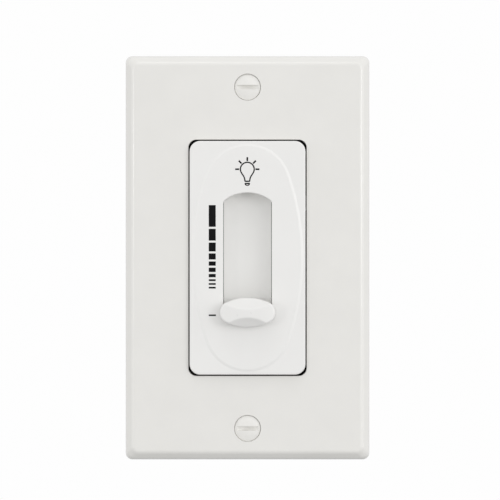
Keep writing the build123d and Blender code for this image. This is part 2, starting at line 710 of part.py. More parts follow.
def back_housing():
    outline = RectangleRounded(2 * HOUSING_HALF_WIDTH, 2 * HOUSING_HALF_HEIGHT, HOUSING_CORNER_R)
    inner_x = HOUSING_HALF_WIDTH - HOUSING_WALL
    inner_z = HOUSING_HALF_HEIGHT - HOUSING_WALL
    housing = slab(outline, HOUSING_BACK, SHEET_BACK)
    housing = fillet(housing.faces().sort_by(Axis.Y)[-1].outer_wire().edges(), 1.2)
    inside = RectangleRounded(2 * inner_x, 2 * inner_z, 0.5)
    housing -= slab(inside, HOUSING_BACK - HOUSING_WALL, SHEET_BACK)
    for x, z in corners(SCREW_X, SCREW_Z):
        boss = rod(x, z, HOUSING_BOSS_R, SHEET_BACK, HOUSING_BOSS_BACK)
        corner_x = math.copysign(inner_x, x)
        corner_z = math.copysign(inner_z, z)
        boss += block(
            min(x, corner_x), max(x, corner_x), SHEET_BACK, HOUSING_BOSS_BACK, min(z, corner_z), max(z, corner_z)
        )
        within = block(-inner_x, inner_x, SHEET_BACK, HOUSING_BOSS_BACK, -inner_z, inner_z)
        housing += boss & within
        housing -= rod(x, z, HOUSING_SCREW_R + 0.05, SHEET_BACK, HOUSING_BOSS_BACK)
    for side in (-1, 1):
        for z in (-LEDGE_Z, LEDGE_Z):
            low, high = sorted((side * (inner_x - LEDGE), side * inner_x))
            housing += block(low, high, BOARD_BACK, BOARD_BACK + 1.2, z - LEDGE_HALF, z + LEDGE_HALF)
    for z in TERMINAL_ZS:
        housing = add_terminal_pocket(housing, z)
    return housing - back_marks()


def back_marks():
    """Shallow recesses in the housing's back: a label field, a wire-strip gauge and ejector marks."""
    marks = Pos(LABEL_X, 0) * RectangleRounded(LABEL_WIDTH, LABEL_HEIGHT, 2)
    for z in (-GAUGE_Z, GAUGE_Z):
        marks += Pos(GAUGE_X, z) * RectangleRounded(GAUGE_WIDTH, GAUGE_LENGTH, 0.9)
    for x, z in corners(EJECTOR_X, EJECTOR_Z):
        marks += Pos(x, z) * Circle(EJECTOR_R)
    return slab(marks, HOUSING_BACK, HOUSING_BACK - RECESS)


def add_terminal_pocket(housing, z):
    """A recess in the left side that is also open at the back, with its own inner walls."""
    inner_x = HOUSING_HALF_WIDTH - HOUSING_WALL
    room_x = POCKET_FLOOR_X + POCKET_WALL
    half = POCKET_HALF + POCKET_WALL
    housing += block(
        -inner_x, room_x, POCKET_FRONT - POCKET_WALL, HOUSING_BACK - HOUSING_WALL, z - half, z + half
    )
    half = POCKET_HALF
    housing -= block(-HOUSING_HALF_WIDTH, POCKET_FLOOR_X, POCKET_FRONT, HOUSING_BACK, z - half, z + half)
    slot_front = POCKET_FRONT - POCKET_WALL
    tail_x = POCKET_FLOOR_X - TAIL_THICKNESS - 0.1
    half = TAIL_HALF + 0.1
    housing -= block(tail_x, POCKET_FLOOR_X, slot_front, POCKET_FRONT, z - half, z + half)
    hole_mid = Pos(POCKET_FLOOR_X + POCKET_WALL / 2, TERMINAL_SCREW_Y, z)
    housing -= hole_mid * Rot(0, 90, 0) * Cylinder(THREAD_8_32_R + 0.2, POCKET_WALL)
    return housing


def terminal_plate(z):
    outer_x = POCKET_FLOOR_X - TERMINAL_PLATE
    half = TERMINAL_HALF
    plate = block(outer_x, POCKET_FLOOR_X, TERMINAL_FRONT, TERMINAL_BACK, z - half, z + half)
    tail_x = POCKET_FLOOR_X - TAIL_THICKNESS
    plate += block(tail_x, POCKET_FLOOR_X, BOARD_BACK, TERMINAL_FRONT, z - TAIL_HALF, z + TAIL_HALF)
    hole_mid = Pos((outer_x + POCKET_FLOOR_X) / 2, TERMINAL_SCREW_Y, z)
    return plate - hole_mid * Rot(0, 90, 0) * Cylinder(THREAD_8_32_R + 0.05, TERMINAL_PLATE)


def terminal_screw(z):
    screw = pan_screw(TERMINAL_HEAD_R, TERMINAL_HEAD, THREAD_8_32_R, 3.6)
    seat_x = POCKET_FLOOR_X - TERMINAL_PLATE - SEAT_GAP
    return Pos(seat_x, TERMINAL_SCREW_Y, z) * Rot(0, 0, -90) * screw


def housing_screw(x, z):
    end = HOUSING_SCREW_END - STRAP_FRONT
    screw = pan_screw(HOUSING_SCREW_HEAD_R, HOUSING_SCREW_HEAD, HOUSING_SCREW_R, end)
    return Pos(x, STRAP_FRONT, z) * screw


def circuit_board():
    outline = Rectangle(2 * BOARD_HALF_WIDTH, 2 * BOARD_HALF_HEIGHT)
    for x, z in corners(BOARD_HALF_WIDTH, BOARD_HALF_HEIGHT):
        outline -= Pos(x, z) * Rectangle(2 * BOARD_NOTCH, 2 * BOARD_NOTCH)
    for x, z in corners(POT_HALF_WIDTH - POT_SHEET / 2, POT_LEG_OFFSET):
        outline -= Pos(x, POT_MID_Z + z) * Rectangle(POT_SHEET + 0.2, 2 * POT_LEG_HALF + 0.2)
    for x, z in pin_places():
        outline -= Pos(x, z) * Circle(PIN_R + 0.1)
    for x in lead_places():
        outline -= Pos(x, lead_z()) * Rectangle(LEAD_WIDTH + 0.2, LEAD_THICKNESS + 0.2)
    return slab(outline, BOARD_BACK, BOARD_FRONT)


def lead_places():
    return [TRIAC_X - LEAD_PITCH, TRIAC_X, TRIAC_X + LEAD_PITCH]


def lead_z():
    return TRIAC_LOW - LEAD_DROP + LEAD_THICKNESS / 2


def triac_lead(x):
    half = LEAD_WIDTH / 2
    front = LEAD_Y - LEAD_THICKNESS / 2
    low = TRIAC_LOW - LEAD_DROP
    down = block(x - half, x + half, front, front + LEAD_THICKNESS, low, TRIAC_LOW)
    back = block(x - half, x + half, front, LEAD_END, low, low + LEAD_THICKNESS)
    return down + back


def triac_plate(y0, y1, high):
    half = TRIAC_HALF_WIDTH
    return block(TRIAC_X - half, TRIAC_X + half, y0, y1, TRIAC_LOW, high)


def thermal_pad():
    pad = triac_plate(STRAP_BACK, PAD_BACK, TRIAC_TAB_HIGH)
    return pad - rod(TRIAC_X, RIVET_Z, RIVET_R + 0.05, STRAP_BACK, PAD_BACK)


def triac_tab():
    tab = triac_plate(PAD_BACK, TAB_BACK, TRIAC_TAB_HIGH)
    return tab - rod(TRIAC_X, RIVET_Z, RIVET_R + 0.05, PAD_BACK, TAB_BACK)


def triac_body():
    body = triac_plate(TAB_BACK, TRIAC_BACK, TRIAC_BODY_HIGH)
    return chamfer(body.faces().sort_by(Axis.Y)[-1].edges(), 0.5)


def choke_ring(inner, outer, front, back, arc):
    width = outer - inner
    mid = ((inner + outer) / 2, (front + back) / 2)
    section = Pos(*mid) * RectangleRounded(width, back - front, width / 5)
    return Pos(CHOKE_X, 0, CHOKE_Z) * revolve(section, axis=Axis.Y, revolution_arc=arc)


def choke_core():
    return choke_ring(CHOKE_INNER_R, CHOKE_OUTER_R, CHOKE_FRONT, CHOKE_BACK, 360)


def choke_winding():
    inner = CHOKE_INNER_R - WINDING
    outer = CHOKE_OUTER_R + WINDING
    sleeve = choke_ring(inner, outer, CHOKE_FRONT - WINDING, CHOKE_BACK + WINDING, WINDING_ARC)
    return sleeve - choke_core()


def boxed_part(x, z, width, height, depth):
    """A moulded part that stands on the board's back, with its upright edges rounded."""
    body = block(x - width / 2, x + width / 2, BOARD_BACK, BOARD_BACK + depth, z - height / 2, z + height / 2)
    return fillet(body.edges().filter_by(Axis.Y), 0.8)


def axial_part(x, z, radius, length, span):
    """A round part that lies along X on the board's back, with a leg at each end."""
    wire_r = 0.3
    y = BOARD_BACK + radius + 0.3
    body = Pos(x, y, z) * Rot(0, 90, 0) * Cylinder(radius, length)
    body = fillet(body.edges(), radius * 0.3)
    body += Pos(x, y, z) * Rot(0, 90, 0) * Cylinder(wire_r, span)
    for end in (x - span / 2, x + span / 2):
        body += rod(end, z, wire_r, BOARD_BACK, y)
        body += Pos(end, y, z) * Sphere(wire_r)
    return body


SIDE_NAMES = ("upper", "lower")
TERMINAL_NAMES = ("line", "load")

nodes = {
    "wall_plate": wall_plate(),
    "face_cover": face_cover(),
    "channel_liner": channel_liner(),
    "mounting_strap": mounting_strap(),
    "ground_screw": ground_screw(),
    "insulating_sheet": insulating_sheet(),
    "back_housing": back_housing(),
    "circuit_board": circuit_board(),
    "pot_frame": pot_frame(),
    "pot_track_board": pot_track_board(),
    "resistive_track": resistive_track(),
    "contact_strip": contact_strip(),
    "thermal_pad": thermal_pad(),
    "triac_tab": triac_tab(),
    "triac_body": triac_body(),
    "triac_rivet": triac_rivet(),
    "choke_core": choke_core(),
    "choke_winding": choke_winding(),
    "film_capacitor": boxed_part(7.5, 25.6, 13.0, 11.5, 12.0),
    "timing_capacitor": boxed_part(-8.4, 24.5, 7.2, 2.6, 6.5),
    "diac": axial_part(-8.4, 28.6, 0.9, 3.8, 7.6),
    "gate_resistor": axial_part(-7.0, 3.0, 1.2, 6.3, 10.2),
    "snubber_resistor": axial_part(-8.0, -24.5, 1.7, 9.0, 12.7),
    "slide_knob": slide_knob(),
    "slider_yoke": slider_yoke(),
    "slider_carrier": slider_carrier(),
    "pot_carriage": pot_carriage(),
    "pot_wiper": pot_wiper(),
}
for name, side in zip(SIDE_NAMES, (1, -1)):
    nodes[f"plate_screw_{name}"] = plate_screw(side * PLATE_SCREW_Z)
    nodes[f"device_screw_{name}"] = device_screw(side * DEVICE_SCREW_Z)
    nodes[f"retaining_washer_{name}"] = retaining_washer(side * DEVICE_SCREW_Z)
for name, z in zip(TERMINAL_NAMES, TERMINAL_ZS):
    nodes[f"terminal_plate_{name}"] = terminal_plate(z)
    nodes[f"terminal_screw_{name}"] = terminal_screw(z)
for number, (x, z) in enumerate(corners(SCREW_X, SCREW_Z), 1):
    nodes[f"housing_screw_{number}"] = housing_screw(x, z)
for number, (x, z) in enumerate(pin_places(), 1):
    nodes[f"pot_pin_{number}"] = pot_pin(x, z)
for number, x in enumerate(lead_places(), 1):
    nodes[f"triac_lead_{number}"] = triac_lead(x)

os.makedirs("parts", exist_ok=True)
for name, shape in nodes.items():
    export_step(shape, f"parts/{name}.step")
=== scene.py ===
import json
import math

import bmesh
import bpy
from mathutils import Matrix, Vector


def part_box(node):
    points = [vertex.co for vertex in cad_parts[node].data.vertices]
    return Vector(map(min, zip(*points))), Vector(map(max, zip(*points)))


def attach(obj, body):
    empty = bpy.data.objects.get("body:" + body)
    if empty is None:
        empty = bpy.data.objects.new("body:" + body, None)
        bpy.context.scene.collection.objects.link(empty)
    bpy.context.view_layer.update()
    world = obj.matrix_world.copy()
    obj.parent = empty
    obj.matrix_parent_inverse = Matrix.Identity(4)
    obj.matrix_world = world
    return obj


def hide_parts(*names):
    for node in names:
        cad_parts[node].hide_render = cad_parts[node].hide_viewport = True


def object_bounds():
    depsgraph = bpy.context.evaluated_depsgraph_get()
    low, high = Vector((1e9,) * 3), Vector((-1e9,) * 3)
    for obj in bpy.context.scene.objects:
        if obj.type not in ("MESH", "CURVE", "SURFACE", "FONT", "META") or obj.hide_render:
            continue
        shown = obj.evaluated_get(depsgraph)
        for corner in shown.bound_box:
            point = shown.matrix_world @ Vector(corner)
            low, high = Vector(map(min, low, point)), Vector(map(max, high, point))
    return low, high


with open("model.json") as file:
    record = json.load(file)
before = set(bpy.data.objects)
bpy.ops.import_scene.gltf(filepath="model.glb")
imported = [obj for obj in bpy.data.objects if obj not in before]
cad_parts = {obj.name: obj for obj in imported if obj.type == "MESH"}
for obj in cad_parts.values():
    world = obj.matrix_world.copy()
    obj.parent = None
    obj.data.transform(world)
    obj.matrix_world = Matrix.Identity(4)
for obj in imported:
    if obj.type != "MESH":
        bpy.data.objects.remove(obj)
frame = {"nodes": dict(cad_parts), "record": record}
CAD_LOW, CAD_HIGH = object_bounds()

# A slide dimmer in its wall plate. Metres: X right, Y back into the wall, Z up. The front faces -Y.
MM = 0.001
NODES = frame["nodes"]

# ---- Camera: square on to the plate, a little right of and above its middle ----
SENSOR = 36.0
CAMERA_DISTANCE = 700 * MM
VIEW_WIDTH = 141.85 * MM
CAMERA_X = 0.70 * MM
CAMERA_Z = 2.21 * MM
CAMERA_NEAR = 10 * MM

# ---- Sky: its strength above and below, and the heights of its direction between which it changes ----
SKY_ABOVE = 0.82
SKY_BELOW = 0.47
SKY_RANGE = (-0.95, 0.05)
BACKDROP = 0.99

# ---- Soft boxes: each one's place in metres, power in watts and width in metres ----
SOFT_BOXES = {
    "key": ((1.4, -1.8, 0.5), 6.8, 1.0),
    "right": ((1.5, -1.7, 0.1), 2.4, 0.4),
    "left": ((-1.5, -1.7, 0.1), 3.0, 0.2),
    "top": ((-0.2, -0.9, 2.1), 3.0, 0.8),
    "right_fill": ((2.4, -0.5, 0.2), 4.0, 1.0),
    "left_fill": ((-2.4, -0.5, 0.2), 3.0, 1.0),
}

# ---- Floor: its tones, the size of their drift in millimetres, its radius and how far down it lies ----
FLOOR_TONES = ((0.86,) * 3, (0.88,) * 3)
FLOOR_DRIFT = 180.0
FLOOR_ROUGHNESS = 0.7
FLOOR_RADIUS = 0.8
FLOOR_DROP = 0.10

# ---- The gap between the wall plate's opening and the face cover, in millimetres, and the shade painted into it ----
# OPENING and COVER are half width, half height and corner radius.
OPENING = (16.75, 33.5, 2.2)
COVER = (16.4, 33.1, 3.0)
# WALL_SLACK and STRAP_BAND bound the painted shade: its slack past the wall's line and how far out it
# reaches on the strap.
WALL_SLACK = 0.04
STRAP_BAND = 0.9
# The dark colour painted down the gap's walls and onto the strap behind it as shade.
GAP_PAINTED_SHADE = (0.012, 0.012, 0.012)
PLATE_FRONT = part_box("wall_plate")[0].y / MM
STRAP_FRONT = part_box("mounting_strap")[0].y / MM

# ---- Finishes: where most of a noise's values lie, and what the finishes made by surface() share ----
NOISE_LOW = 0.3
NOISE_HIGH = 0.7
NOISE_ROUGHNESS = 0.55
WAVE_SIZE = 7.0  # millimetres
GLOSS_PATCH = 0.4  # of the tint's size
COAT_ROUGHNESS = 0.16


# =============================== materials ===============================

def new_material(name):
    """A fresh material with its node tree, its links and its shader."""
    material = bpy.data.materials.new(name)
    material.use_nodes = True
    tree = material.node_tree
    return material, tree.nodes, tree.links, tree.nodes["Principled BSDF"]


def object_coordinates(nodes, links, stretch=(1, 1, 1)):
    """The row frame's own coordinates in millimetres, squeezed where a stretch is given."""
    coordinates = nodes.new("ShaderNodeTexCoord")
    mapping = nodes.new("ShaderNodeMapping")
    mapping.inputs["Scale"].default_value = [1 / MM / s for s in stretch]
    links.new(coordinates.outputs["Object"], mapping.inputs["Vector"])
    return mapping.outputs["Vector"]


def noise(nodes, links, vector, size, detail=3.0):
    """A noise whose features are about size millimetres across."""
    texture = nodes.new("ShaderNodeTexNoise")
    texture.inputs["Scale"].default_value = 1 / size
    texture.inputs["Detail"].default_value = detail
    texture.inputs["Roughness"].default_value = NOISE_ROUGHNESS
    links.new(vector, texture.inputs["Vector"])
    return texture.outputs["Fac"]


def ramp(nodes, links, value, low, high, start=NOISE_LOW, end=NOISE_HIGH):
    """A colour that runs from low to high as value goes from start to end."""
    node = nodes.new("ShaderNodeValToRGB")
    node.color_ramp.elements[0].position = start
    node.color_ramp.elements[0].color = (*low, 1)
    node.color_ramp.elements[1].position = end
    node.color_ramp.elements[1].color = (*high, 1)
    links.new(value, node.inputs["Fac"])
    return node.outputs["Color"]


def spread(nodes, links, value, low, high):
    """The value, moved from the middle of a noise's range to run from low to high."""
    node = nodes.new("ShaderNodeMapRange")
    node.inputs["From Min"].default_value = NOISE_LOW
    node.inputs["From Max"].default_value = NOISE_HIGH
    node.inputs["To Min"].default_value = low
    node.inputs["To Max"].default_value = high
    links.new(value, node.inputs["Value"])
    return node.outputs["Result"]


def bump(nodes, links, height, depth, below=None):
    """A bump of the given depth in millimetres, on top of another normal if one is given."""
    node = nodes.new("ShaderNodeBump")
    node.inputs["Distance"].default_value = depth * MM
    links.new(height, node.inputs["Height"])
    if below is not None:
        links.new(below, node.inputs["Normal"])
    return node.outputs["Normal"]


def vector_math(nodes, links, operation, vector, other=None):
    """A vector operation, with a constant second vector if it takes one."""
    node = nodes.new("ShaderNodeVectorMath")
    node.operation = operation
    links.new(vector, node.inputs[0])
    if other is not None:
        node.inputs[1].default_value = other
    return node.outputs["Value" if operation == "LENGTH" else "Vector"]


def compare(nodes, links, operation, value, threshold):
    """1 where the value is less or greater than the threshold, as the operation says, and 0 elsewhere."""
    node = nodes.new("ShaderNodeMath")
    node.operation = operation
    links.new(value, node.inputs[0])
    node.inputs[1].default_value = threshold
    return node.outputs["Value"]


def product(nodes, links, first, second):
    """Two values multiplied."""
    node = nodes.new("ShaderNodeMath")
    node.operation = "MULTIPLY"
    links.new(first, node.inputs[0])
    links.new(second, node.inputs[1])
    return node.outputs["Value"]


def paint_gap_shade(nodes, links, colours, half_x, half_z, corner, side, clear_y, dark_y, band=None):
    """Painted shade down the gap round the insert: the colour darkens where the gap lies in shadow.

    The gap's wall is a rounded rectangle. Side is 1 for what lies inside its line and -1 for what
    lies outside it, as far out as the band if one is given. The colour turns dark between the
    depths clear_y and dark_y.
    """
    place_mm = object_coordinates(nodes, links)
    off_middle = vector_math(nodes, links, "ABSOLUTE", place_mm)
    past_corner = vector_math(nodes, links, "SUBTRACT", off_middle, (half_x - corner, 0, half_z - corner))
    kept = vector_math(nodes, links, "MAXIMUM", past_corner, (0, 0, 0))
    flat = vector_math(nodes, links, "MULTIPLY", kept, (1, 0, 1))
    reach = vector_math(nodes, links, "LENGTH", flat)
    beside_wall = "LESS_THAN" if side > 0 else "GREATER_THAN"
    wall = compare(nodes, links, beside_wall, reach, corner + side * WALL_SLACK)
    split = nodes.new("ShaderNodeSeparateXYZ")
    links.new(place_mm, split.inputs["Vector"])
    depth = nodes.new("ShaderNodeMapRange")
    depth.inputs["From Min"].default_value = clear_y
    depth.inputs["From Max"].default_value = dark_y
    links.new(split.outputs["Y"], depth.inputs["Value"])
    amount = product(nodes, links, wall, depth.outputs["Result"])
    if band is not None:
        amount = product(nodes, links, amount, compare(nodes, links, "LESS_THAN", reach, corner + band))
    # The painted shade's dark colour mixed over the finish's own colours.
    mix = nodes.new("ShaderNodeMix")
    mix.data_type = "RGBA"
    links.new(amount, mix.inputs["Factor"])
    links.new(colours, mix.inputs["A"])
    mix.inputs["B"].default_value = (*GAP_PAINTED_SHADE, 1)
    return mix.outputs["Result"]


def scaled(colour, factor):
    """The colour made lighter or darker, no brighter than white."""
    return tuple(min(1.0, c * factor) for c in colour)


def surface(
    name, colour, roughness, metallic=0.0, tint=0.03, tint_size=9.0, gloss_spread=0.06,
    grain=0.35, grain_depth=0.004, wave_depth=0.0, stretch=(1, 1, 1), coat=0.0,
    specular=0.5, shade=None,
):
    """A finish with drifting tint and gloss, a fine grain and, if asked, a long soft waviness and painted
    shade down the gap.
    """
    material, nodes, links, shader = new_material(name)
    vector = object_coordinates(nodes, links, stretch)
    drift = noise(nodes, links, vector, tint_size)
    colours = ramp(nodes, links, drift, scaled(colour, 1 - tint), scaled(colour, 1 + tint))
    # Painted shade: the colour darkens down the gap round the insert, standing for shadow.
    if shade is not None:
        colours = paint_gap_shade(nodes, links, colours, *shade)
    links.new(colours, shader.inputs["Base Color"])
    patch = noise(nodes, links, vector, tint_size * GLOSS_PATCH, detail=5.0)
    gloss = spread(nodes, links, patch, roughness - gloss_spread, roughness + gloss_spread)
    links.new(gloss, shader.inputs["Roughness"])
    shader.inputs["Specular IOR Level"].default_value = specular
    normal = bump(nodes, links, noise(nodes, links, vector, grain, detail=4.0), grain_depth)
    if wave_depth:
        wave = noise(nodes, links, vector, WAVE_SIZE, detail=1.0)
        normal = bump(nodes, links, wave, wave_depth, normal)
    links.new(normal, shader.inputs["Normal"])
    shader.inputs["Metallic"].default_value = metallic
    shader.inputs["Coat Weight"].default_value = coat
    shader.inputs["Coat Roughness"].default_value = COAT_ROUGHNESS
    return material


def zinc(name, colour, roughness):
    """Plated steel: crystal patches of slightly different brightness over fine pitting."""
    crystals_per_mm = 1.6
    dull, bright = 0.86, 1.08
    gloss_spread = 0.07
    pit_size, pit_depth = 0.12, 0.003
    material, nodes, links, shader = new_material(name)
    vector = object_coordinates(nodes, links)
    cells = nodes.new("ShaderNodeTexVoronoi")
    cells.inputs["Scale"].default_value = crystals_per_mm
    links.new(vector, cells.inputs["Vector"])
    split = nodes.new("ShaderNodeSeparateColor")
    links.new(cells.outputs["Color"], split.inputs["Color"])
    colours = ramp(nodes, links, split.outputs[0], scaled(colour, dull), scaled(colour, bright), 0, 1)
    links.new(colours, shader.inputs["Base Color"])
    gloss = spread(nodes, links, split.outputs[1], roughness - gloss_spread, roughness + gloss_spread)
    links.new(gloss, shader.inputs["Roughness"])
    pits = noise(nodes, links, vector, pit_size, detail=4.0)
    links.new(bump(nodes, links, pits, pit_depth), shader.inputs["Normal"])
    shader.inputs["Metallic"].default_value = 1.0
    return material


def laminate(name, colour, weave_size):
    """Circuit-board laminate: a faint woven ground under the lacquer."""
    wobble = 0.6
    weave_depth = 0.006
    hollow, crest = 0.82, 1.2
    patch_size = 3.0
    glossy, dull = 0.26, 0.4
    material, nodes, links, shader = new_material(name)
    vector = object_coordinates(nodes, links)
    heights = []
    for direction in ("X", "Z"):
        thread = nodes.new("ShaderNodeTexWave")
        thread.wave_type = "BANDS"
        thread.bands_direction = direction
        thread.inputs["Scale"].default_value = 1 / weave_size
        thread.inputs["Distortion"].default_value = wobble
        links.new(vector, thread.inputs["Vector"])
        heights.append(thread.outputs["Fac"])
    weave = product(nodes, links, *heights)
    colours = ramp(nodes, links, weave, scaled(colour, hollow), scaled(colour, crest), 0, 1)
    links.new(colours, shader.inputs["Base Color"])
    patch = noise(nodes, links, vector, patch_size)
    links.new(spread(nodes, links, patch, glossy, dull), shader.inputs["Roughness"])
    links.new(bump(nodes, links, weave, weave_depth), shader.inputs["Normal"])
    return material


def make_materials():
    """One material for each of the record's slots, by the slot's name."""
    colour = {m["slot"]: tuple(m["base_color"][:3]) for m in frame["record"]["materials"]}

    def finish(slot, roughness, tone=1.0, **options):
        return surface(slot, scaled(colour[slot], tone), roughness, **options)

    return {
        "plate_plastic": finish(
            "plate_plastic", 0.34, tint=0.012, gloss_spread=0.04, grain=0.22, grain_depth=0.0025,
            # Painted shade down the wall of the plate's opening.
            wave_depth=0.02, coat=0.6, shade=(*OPENING, 1, PLATE_FRONT + 0.1, PLATE_FRONT + 0.25),
        ),
        "cover_plastic": finish(
            "cover_plastic", 0.36, tint=0.008, gloss_spread=0.04, grain=0.18, grain_depth=0.002,
            # Painted shade on the cover's sides behind the plate's face.
            shade=(*COVER, -1, PLATE_FRONT - 0.15, PLATE_FRONT + 0.1),
        ),
        "liner_plastic": finish(
            "liner_plastic", 0.5, tone=0.985, tint=0.012, gloss_spread=0.05, grain=0.16,
            grain_depth=0.003,
        ),
        "knob_plastic": finish(
            "knob_plastic", 0.3, tone=0.965, tint=0.008, gloss_spread=0.04, grain=0.27,
            grain_depth=0.002,
        ),
        "printed_ink": finish(
            "printed_ink", 0.9, tint=0.12, tint_size=0.8, grain=0.08, grain_depth=0.004, specular=0.0
        ),
        "white_enamel": finish(
            "white_enamel", 0.45, tint=0.02, tint_size=2.0, grain=0.5, grain_depth=0.004
        ),
        "strap_metal": finish(
            "strap_metal", 0.38, metallic=1.0, tint=0.06, tint_size=3.0, grain=0.25, grain_depth=0.004,
            # Painted shade on a band of the strap round the cover's line.
            stretch=(1, 1, 30), shade=(*COVER, -1, STRAP_FRONT + 0.2, STRAP_FRONT + 0.05, STRAP_BAND),
        ),
        "zinc_steel": zinc("zinc_steel", colour["zinc_steel"], 0.3),
        "green_steel": finish(
            "green_steel", 0.3, metallic=0.8, tint=0.15, tint_size=1.5, grain=0.2, grain_depth=0.004
        ),
        "fibre": finish("fibre", 0.75, tint=0.16, tint_size=0.9, grain=0.15, grain_depth=0.02),
        "insulating_paper": finish(
            "insulating_paper", 0.6, tint=0.12, tint_size=1.6, grain=0.2, grain_depth=0.012,
            stretch=(3, 1, 1),
        ),
        "housing_plastic": finish(
            "housing_plastic", 0.48, tint=0.18, tint_size=4.0, gloss_spread=0.09, grain=0.28,
            grain_depth=0.014, wave_depth=0.03,
        ),
        "board_laminate": laminate("board_laminate", colour["board_laminate"], 1.1),
        "track_laminate": laminate("track_laminate", colour["track_laminate"], 0.8),
        "carbon": finish("carbon", 0.62, tint=0.2, tint_size=0.5, grain=0.06, grain_depth=0.004),
        "silver": finish(
            "silver", 0.35, metallic=1.0, tint=0.08, tint_size=1.0, grain=0.08, grain_depth=0.004
        ),
        "tinned_metal": finish(
            "tinned_metal", 0.3, metallic=1.0, tint=0.08, tint_size=2.0, grain=0.3, grain_depth=0.004
        ),
        "thermal_rubber": finish(
            "thermal_rubber", 0.7, tint=0.1, tint_size=1.0, grain=0.12, grain_depth=0.01
        ),
        "epoxy": finish("epoxy", 0.5, tint=0.2, tint_size=1.4, grain=0.14, grain_depth=0.012),
        "rivet_metal": finish(
            "rivet_metal", 0.4, metallic=1.0, tint=0.06, tint_size=1.0, grain_depth=0.004
        ),
        "core_powder": finish(
            "core_powder", 0.58, tint=0.14, tint_size=0.8, grain=0.15, grain_depth=0.02
        ),
        "copper_wire": finish(
            "copper_wire", 0.26, metallic=0.9, tint=0.14, tint_size=1.5, grain=0.3, grain_depth=0.003,
            coat=0.6,
        ),
        "film_case": finish("film_case", 0.32, tint=0.08, tint_size=3.0, grain=0.5, grain_depth=0.006),
        "capacitor_case": finish(
            "capacitor_case", 0.3, tint=0.1, tint_size=1.5, grain=0.6, grain_depth=0.02
        ),
        "diac_case": finish("diac_case", 0.25, tint=0.1, tint_size=1.0, grain=0.3, grain_depth=0.004),
        "resistor_case": finish(
            "resistor_case", 0.35, tint=0.08, tint_size=1.2, grain=0.3, grain_depth=0.008
        ),
        "terminal_brass": finish(
            "terminal_brass", 0.33, metallic=1.0, tint=0.1, tint_size=1.8, gloss_spread=0.1, grain=0.3,
            grain_depth=0.005,
        ),
        "acetal": finish("acetal", 0.45, tint=0.03, tint_size=2.5, grain=0.2, grain_depth=0.004),
        "carriage_plastic": finish(
            "carriage_plastic", 0.5, tint=0.15, tint_size=1.5, grain=0.2, grain_depth=0.006
        ),
        "wiper_metal": finish(
            "wiper_metal", 0.3, metallic=1.0, tint=0.1, tint_size=1.0, grain_depth=0.003
        ),
    }


def finish_nodes(materials):
    """Every CAD node takes its slot's material."""
    slot_of = {s["node"]: s["material_slot"] for s in frame["record"]["subparts"]}
    for name, node in NODES.items():
        node.data.materials.clear()
        node.data.materials.append(materials[slot_of[name]])


# =============================== mesh helpers ===============================

SHARP_ANGLE = 40  # degrees


def place(name, mesh, material, body):
    """An object for the mesh, with its finish, that rides on a body."""
    piece = bpy.data.objects.new(name, mesh)
    bpy.context.scene.collection.objects.link(piece)
    mesh.materials.append(material)
    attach(piece, body)
    return piece


def smooth(mesh):
    """Shades the mesh smooth, except over its sharp edges."""
    mesh.shade_smooth()
    mesh.set_sharp_from_angle(angle=math.radians(SHARP_ANGLE))


def mesh_of(name, bm):
    """Closes off a bmesh as a mesh with outward normals."""
    bmesh.ops.recalc_face_normals(bm, faces=bm.faces)
    mesh = bpy.data.meshes.new(name)
    bm.to_mesh(mesh)
    bm.free()
    return mesh


# =============================== printed marks ===============================

# The film of ink is INK metres thick and reaches INK_ROOT of that into the face cover.
INK = 0.025 * MM
INK_ROOT = 0.2
FACE_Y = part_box("face_cover")[0].y

# Places and sizes are in millimetres and angles in degrees. The bulb's and the cap's points are measured
# from the bulb's centre, and the bulb's are those of its right half. BULB_LEAVE is where its round part
# ends and BULB_PULL how far that carries on towards the waist. A cap band is half width, low, high.
BAR_LEFT = -10.97
BAR_RIGHT = -9.0
BAR_TOP = 14.92
BAR_GAP = 0.56
BAR_HEIGHTS = (6.15, 3.34, 2.5, 1.72, 1.2, 1.22, 0.94, 0.52, 0.5, 0.48)
OFF_Z = -16.25
OFF_HEIGHT = 0.42
OFF_EXTRA = 0.06
BAR_CORNER = 0.08
LAMP_X = -0.06
LAMP_Z = 25.07
LAMP_R = 1.95
LAMP_LINE = 0.36
LAMP_FINE_LINE = 0.28
BULB_LEAVE = -28
BULB_PULL = 0.75
BULB_WAIST = (0.92, -1.95)
BULB_NECK = (0.76, -2.75)
BULB_FOOT = ((0.70, -3.05), (0.68, -3.2), (0.62, -3.45))
CAP_BANDS = ((0.72, -3.6, -3.22), (0.74, -4.26, -3.86))
CAP_CUP = ((-0.6, -4.15), (-0.5, -4.72), (0.5, -4.72), (0.6, -4.15))
RAY_LINE = 0.46
RAY_START = 2.3
RAY_LENGTH = 1.12
RAY_ANGLES = (0, 45, 90, 135, 180)


def prism(bm, outline):
    """A film of ink on the face cover with the given outline of (x, z) points in millimetres."""
    back = [bm.verts.new((x * MM, FACE_Y + INK * INK_ROOT, z * MM)) for x, z in outline]
    front = [bm.verts.new((x * MM, FACE_Y - INK, z * MM)) for x, z in outline]
    bm.faces.new(back)
    bm.faces.new(front)
    count = len(outline)
    for i in range(count):
        j = (i + 1) % count
        bm.faces.new((back[i], back[j], front[j], front[i]))


def bar(bm, left, right, low, high, corner=BAR_CORNER):
    """A printed bar whose corners are slightly round."""
    outline = []
    for x, z, start in ((right, high, 0), (left, high, 90), (left, low, 180), (right, low, 270)):
        inward_x = corner if x == left else -corner
        inward_z = corner if z == low else -corner
        for step in range(4):
            angle = math.radians(start + step * 30)
            round_x = x + inward_x + corner * math.cos(angle)
            round_z = z + inward_z + corner * math.sin(angle)
            outline.append((round_x, round_z))
    prism(bm, outline)


